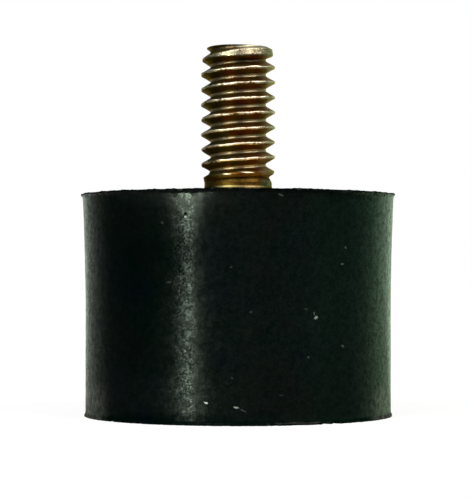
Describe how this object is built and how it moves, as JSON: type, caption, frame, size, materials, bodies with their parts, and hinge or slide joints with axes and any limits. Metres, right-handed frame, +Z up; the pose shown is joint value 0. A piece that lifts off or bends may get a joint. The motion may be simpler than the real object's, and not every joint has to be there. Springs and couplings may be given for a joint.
{
  "type": "anti-vibration mount",
  "caption": "Cylindrical rubber mount bonded to a steel plate, with a threaded stud standing from its top and a plain flat foot.",
  "frame": {"origin": "centre of the rubber's flat foot, on the axis of the mount", "axes": "+Z up, along the stud from the foot to the tip; the mount is round about it, and a thread crest crosses +X 0.62 mm above the rubber's top"},
  "size_m": [0.0266, 0.0266, 0.0312],
  "materials": {
    "black_rubber": "matte moulded rubber with a slight sheen and faint bloom",
    "yellow_zinc_plate": "yellow-passivated zinc on pressed steel",
    "yellow_zinc_stud": "yellow-passivated zinc on rolled thread, worn bright at the tip"
  },
  "bodies": {
    "root": {"rubber_body": "black_rubber", "stud_plate": "yellow_zinc_plate", "threaded_stud": "yellow_zinc_stud"}
  },
  "joints": []
}
